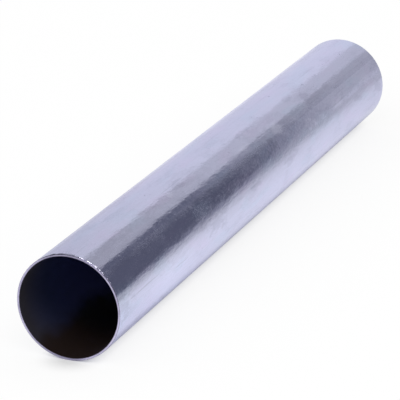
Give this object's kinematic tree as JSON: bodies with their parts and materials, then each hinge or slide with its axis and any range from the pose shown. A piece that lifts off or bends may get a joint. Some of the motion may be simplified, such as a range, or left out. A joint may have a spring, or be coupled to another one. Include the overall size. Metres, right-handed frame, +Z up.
{
  "type": "steel conduit pipe",
  "caption": "Short straight length of thin-walled round steel conduit, open right through, with square-cut deburred ends, lying on its side.",
  "frame": {"origin": "on the surface the pipe lies on, under the middle of its length", "axes": "+X along the pipe, from the end nearest the viewer to the far end; +Z up"},
  "size_m": [0.66, 0.0888, 0.0887],
  "materials": {
    "steel": "satin zinc-coated steel, lightly streaked along its length"
  },
  "bodies": {
    "root": {"pipe": "steel"}
  },
  "joints": []
}
